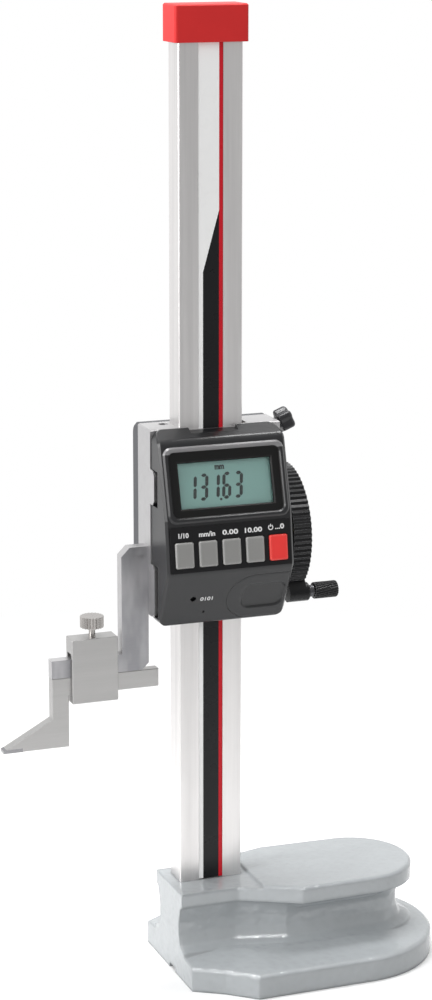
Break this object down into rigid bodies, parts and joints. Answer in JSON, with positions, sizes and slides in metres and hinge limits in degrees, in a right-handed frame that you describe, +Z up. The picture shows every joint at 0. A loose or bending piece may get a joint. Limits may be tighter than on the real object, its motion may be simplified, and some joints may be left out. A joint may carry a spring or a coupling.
{
  "type": "digital height gauge",
  "caption": "Free-standing digital height gauge: cast base with finger grip, flat column, geared carriage with handwheel, display housing, and a clamped offset scriber.",
  "frame": {"origin": "on the base's underside, on the middle line of the column", "axes": "+X towards the finger grip and the handwheel, +Y away from the display, +Z up the column"},
  "size_m": [0.2394, 0.1132, 0.515],
  "materials": {
    "base_paint": "light grey hammered enamel",
    "column_steel": "ground",
    "dark_steel": "black oxide",
    "scale_board": "matte laminate",
    "scale_print": "printed film, black beside a white and a red stripe",
    "gear_steel": "cut teeth, lightly oiled",
    "red_cap": "moulded",
    "brushed_frame": "ground",
    "gib_brass": "machined",
    "cover_grey": "satin",
    "circuit_board": "solder mask",
    "housing_grey": "fine moulded grain",
    "clear_lens": "clear",
    "display_glass": "reflective display",
    "panel_black": "satin print",
    "mat_rubber": "moulded",
    "cell_steel": "plated",
    "wheel_black": "satin",
    "lock_grey": "satin",
    "clamp_steel": "ground",
    "bright_steel": "turned",
    "carbide": "lapped",
    "key_grey": "moulded",
    "key_red": "moulded"
  },
  "bodies": {
    "stand": {"base_casting": "base_paint", "column": "column_steel", "column_screws": "dark_steel", "scale_board": "scale_board", "scale_film": "scale_print", "feed_rack": "gear_steel", "rack_pins": "dark_steel", "column_cap": "red_cap"},
    "carriage": {"carriage_frame": "brushed_frame", "top_screw": "dark_steel", "gib_strip": "gib_brass", "gib_screws": "dark_steel", "brake_shoe": "gib_brass", "gear_cover": "cover_grey", "cover_screws": "dark_steel", "shaft_bushes": "gib_brass", "sensor_board": "circuit_board", "display_housing": "housing_grey", "housing_screws": "dark_steel", "display_lens": "clear_lens", "lcd_module": "display_glass", "keypad_panel": "panel_black", "keypad_mat": "mat_rubber", "key_board": "circuit_board", "battery": "cell_steel", "battery_contacts": "cell_steel", "data_jack": "panel_black"},
    "handwheel": {"handwheel": "wheel_black", "pinion_shaft": "gear_steel", "pinion": "gear_steel", "wheel_washer": "cell_steel", "wheel_screw": "dark_steel", "crank_pin": "cell_steel"},
    "crank_knob": {"crank_knob": "wheel_black"},
    "lock_knob": {"lock_knob": "lock_grey", "lock_screw": "cell_steel"},
    "scriber_clamp": {"scriber_clamp": "clamp_steel"},
    "clamp_thumbscrew": {"clamp_thumbscrew": "bright_steel"},
    "scriber": {"scriber": "clamp_steel", "carbide_tip": "carbide"},
    "battery_door": {"battery_door": "housing_grey"},
    "key_inc": {"key_inc": "key_grey"},
    "key_unit": {"key_unit": "key_grey"},
    "key_hold": {"key_hold": "key_grey"},
    "key_preset": {"key_preset": "key_grey"},
    "key_zero": {"key_zero": "key_red"}
  },
  "joints": [
    {"name": "carriage_slide", "type": "slide", "parent": "stand", "child": "carriage", "axis": [0, 0, 1], "range_m": [-0.1316, 0.19]},
    {"name": "handwheel_spin", "type": "hinge", "parent": "carriage", "child": "handwheel", "pos_m": [0.047, 0.0135, 0.2358], "axis": [1, 0, 0], "range_deg": [-1048, 1513]},
    {"name": "crank_knob_spin", "type": "hinge", "parent": "handwheel", "child": "crank_knob", "pos_m": [0.0646, -0.01067, 0.20519], "axis": [1, 0, 0], "continuous": true},
    {"name": "lock_knob_turn", "type": "hinge", "parent": "carriage", "child": "lock_knob", "pos_m": [0.02012, 0.0005, 0.2876], "axis": [0.9272, 0, 0.3746], "range_deg": [-360, 0]},
    {"name": "clamp_slide", "type": "slide", "parent": "carriage", "child": "scriber_clamp", "axis": [1, 0, 0], "range_m": [-0.0005, 0.0025]},
    {"name": "clamp_thumbscrew_turn", "type": "hinge", "parent": "scriber_clamp", "child": "clamp_thumbscrew", "pos_m": [-0.0644, -0.0025, 0.1792], "axis": [0, 0, 1], "range_deg": [-360, 0]},
    {"name": "scriber_slide", "type": "slide", "parent": "carriage", "child": "scriber", "axis": [1, 0, 0], "range_m": [-0.015, 0.0005]},
    {"name": "battery_door_slide", "type": "slide", "parent": "carriage", "child": "battery_door", "axis": [1, 0, 0], "range_m": [0, 0.012]},
    {"name": "key_inc_press", "type": "slide", "parent": "carriage", "child": "key_inc", "axis": [0, 0.9903, -0.1392], "range_m": [0, 0.0008], "stiffness_N_per_m": 800},
    {"name": "key_unit_press", "type": "slide", "parent": "carriage", "child": "key_unit", "axis": [0, 0.9903, -0.1392], "range_m": [0, 0.0008], "stiffness_N_per_m": 800},
    {"name": "key_hold_press", "type": "slide", "parent": "carriage", "child": "key_hold", "axis": [0, 0.9903, -0.1392], "range_m": [0, 0.0008], "stiffness_N_per_m": 800},
    {"name": "key_preset_press", "type": "slide", "parent": "carriage", "child": "key_preset", "axis": [0, 0.9903, -0.1392], "range_m": [0, 0.0008], "stiffness_N_per_m": 800},
    {"name": "key_zero_press", "type": "slide", "parent": "carriage", "child": "key_zero", "axis": [0, 0.9903, -0.1392], "range_m": [0, 0.0008], "stiffness_N_per_m": 800}
  ],
  "couplings": [
    {"joint": "handwheel_spin", "follows": "carriage_slide", "rad_per_m": 138.89}
  ]
}
